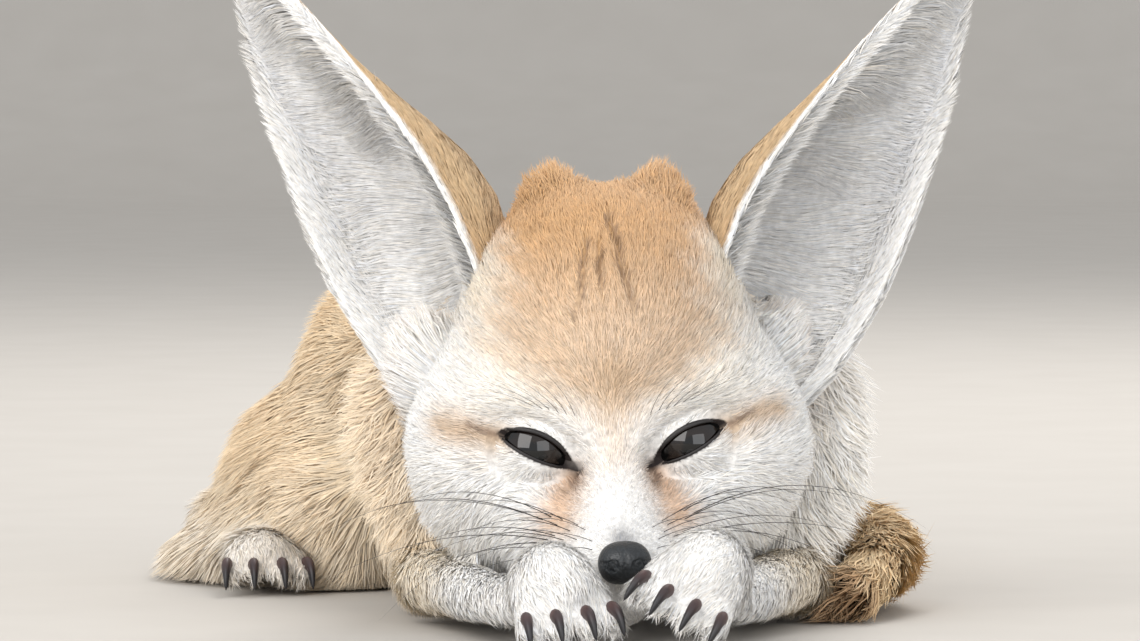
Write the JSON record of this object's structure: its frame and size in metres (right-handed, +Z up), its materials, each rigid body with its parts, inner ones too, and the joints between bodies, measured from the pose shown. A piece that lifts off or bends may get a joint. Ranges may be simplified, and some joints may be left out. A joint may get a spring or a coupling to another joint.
{
  "type": "fennec fox model",
  "caption": "Life-size still model of a fennec fox lying on its belly, head low behind its forepaws, with very large cupped ears and a bushy tail round one side.",
  "frame": {"origin": "on the floor, in the middle of the flat under the belly", "axes": "+Z up; -Y the way the face looks; +X the fox's own left side; +Y runs to its rump"},
  "size_m": [0.1729, 0.3135, 0.1398],
  "materials": {
    "sandy_fur": "short dense coat, sandy orange-buff above",
    "cream_fur": "soft pale cream coat",
    "white_fur": "short white coat of the legs and paws",
    "brush_fur": "long bushy coat, brown with a dark tip",
    "nose_leather": "damp, finely pebbled nose leather",
    "eye_dark": "clear polished dark brown eye",
    "claw_horn": "smooth horn, reddish at the root and slate at the tip"
  },
  "bodies": {
    "root": {"claw_fore_left_1": "claw_horn", "claw_fore_left_2": "claw_horn", "claw_fore_left_3": "claw_horn", "claw_fore_left_4": "claw_horn", "claw_fore_right_1": "claw_horn", "claw_fore_right_2": "claw_horn", "claw_fore_right_3": "claw_horn", "claw_fore_right_4": "claw_horn", "claw_hind_left_1": "claw_horn", "claw_hind_left_2": "claw_horn", "claw_hind_left_3": "claw_horn", "claw_hind_left_4": "claw_horn", "claw_hind_right_1": "claw_horn", "claw_hind_right_2": "claw_horn", "claw_hind_right_3": "claw_horn", "claw_hind_right_4": "claw_horn", "ear_left": "sandy_fur", "ear_right": "sandy_fur", "eye_left": "eye_dark", "eye_right": "eye_dark", "forearm_left": "white_fur", "forearm_right": "white_fur", "forepaw_left": "white_fur", "forepaw_right": "white_fur", "haunch_left": "sandy_fur", "haunch_right": "sandy_fur", "head": "sandy_fur", "hindfoot_left": "cream_fur", "hindfoot_right": "cream_fur", "neck": "cream_fur", "nose": "nose_leather", "ruff_left": "cream_fur", "ruff_right": "cream_fur", "shank_left": "cream_fur", "shank_right": "cream_fur", "shoulder_left": "cream_fur", "shoulder_right": "cream_fur", "tail_middle": "brush_fur", "tail_root": "brush_fur", "tail_tip": "brush_fur", "torso": "sandy_fur"}
  },
  "joints": []
}
